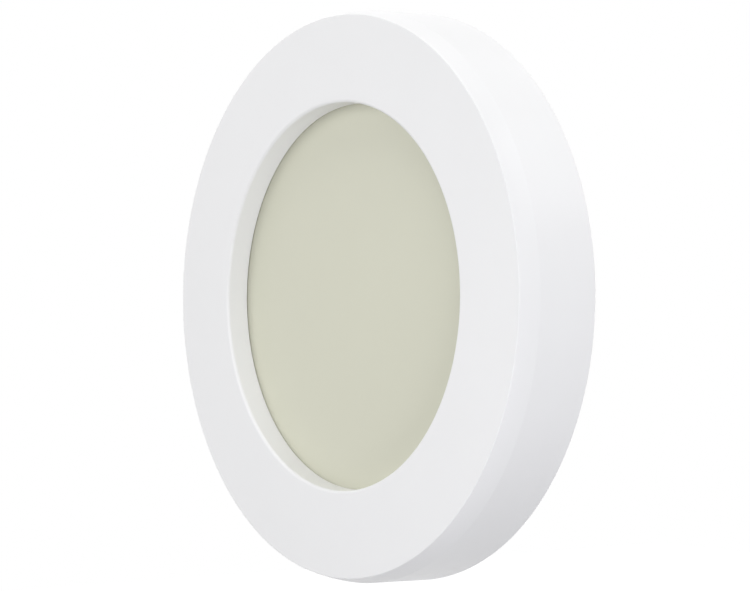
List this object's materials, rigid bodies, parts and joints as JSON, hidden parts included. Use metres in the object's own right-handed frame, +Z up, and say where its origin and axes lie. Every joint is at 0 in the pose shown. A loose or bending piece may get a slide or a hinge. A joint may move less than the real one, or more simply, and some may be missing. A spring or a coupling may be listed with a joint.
{
  "type": "underwater pool light",
  "caption": "Slim round underwater pool light for a wall: a deep white bezel round a flat frosted lens, on a twist-lock bracket, with its LED board and driver sealed inside.",
  "frame": {"origin": "centre of the light on the pool wall's surface, where the bracket's back rests", "axes": "+Y into the wall, so the light faces -Y; +Z up; +X to the right as seen from the pool"},
  "size_m": [0.288, 0.045, 0.288],
  "materials": {
    "gloss_white_plastic": "gloss white ABS with a fine moulded skin",
    "grey_plastic": "grey glass-filled plastic, satin",
    "frosted_lens": "opaque frosted sage lens, satin",
    "black_rubber": "matt black rubber",
    "stainless_steel": "plain stainless steel",
    "aluminium": "plain aluminium",
    "green_board": "green solder mask",
    "white_board": "white solder mask and white reflector plastic",
    "black_moulding": "black moulded plastic",
    "green_moulding": "green moulded plastic",
    "amber_silicone": "phosphor-filled silicone",
    "red_insulation": "red insulation"
  },
  "bodies": {
    "bracket": {"wall_bracket": "gloss_white_plastic"},
    "lamp": {"rear_shell": "grey_plastic", "gland_plug": "black_moulding", "lens": "frosted_lens", "clamp_ring": "stainless_steel", "cable_grommet": "black_rubber", "gland_washer": "stainless_steel", "lens_gasket": "black_rubber", "driver_board": "green_board", "terminal_block": "green_moulding", "bridge_rectifier": "black_moulding", "inductor": "black_moulding", "capacitor_1": "aluminium", "capacitor_2": "aluminium", "lead_red": "red_insulation", "lead_black": "black_moulding", "heat_spreader": "aluminium", "led_board": "white_board", "reflector": "white_board", "led_01": "amber_silicone", "led_02": "amber_silicone", "led_03": "amber_silicone", "led_04": "amber_silicone", "led_05": "amber_silicone", "led_06": "amber_silicone", "led_07": "amber_silicone", "led_08": "amber_silicone", "led_09": "amber_silicone", "led_10": "amber_silicone", "led_11": "amber_silicone", "led_12": "amber_silicone", "board_screw_1": "stainless_steel", "board_screw_2": "stainless_steel", "board_screw_3": "stainless_steel", "board_screw_4": "stainless_steel", "driver_screw_1": "stainless_steel", "driver_screw_2": "stainless_steel", "bezel_clip_1": "stainless_steel", "bezel_clip_2": "stainless_steel", "bezel_clip_3": "stainless_steel", "bezel_clip_4": "stainless_steel", "clamp_screw_1": "stainless_steel", "clamp_screw_2": "stainless_steel", "clamp_screw_3": "stainless_steel", "clamp_screw_4": "stainless_steel", "clamp_screw_5": "stainless_steel", "clamp_screw_6": "stainless_steel", "clamp_screw_7": "stainless_steel", "clamp_screw_8": "stainless_steel"},
    "bezel": {"bezel": "gloss_white_plastic"}
  },
  "joints": [
    {"name": "lamp_twist", "type": "hinge", "parent": "bracket", "child": "lamp", "pos_m": [0, 0, 0], "axis": [0, -1, 0], "range_deg": [0, 26]},
    {"name": "bezel_pull", "type": "slide", "parent": "lamp", "child": "bezel", "axis": [0, -1, 0], "range_m": [0, 0.06], "deforming": ["bezel_clip_1", "bezel_clip_2", "bezel_clip_3", "bezel_clip_4"]}
  ]
}
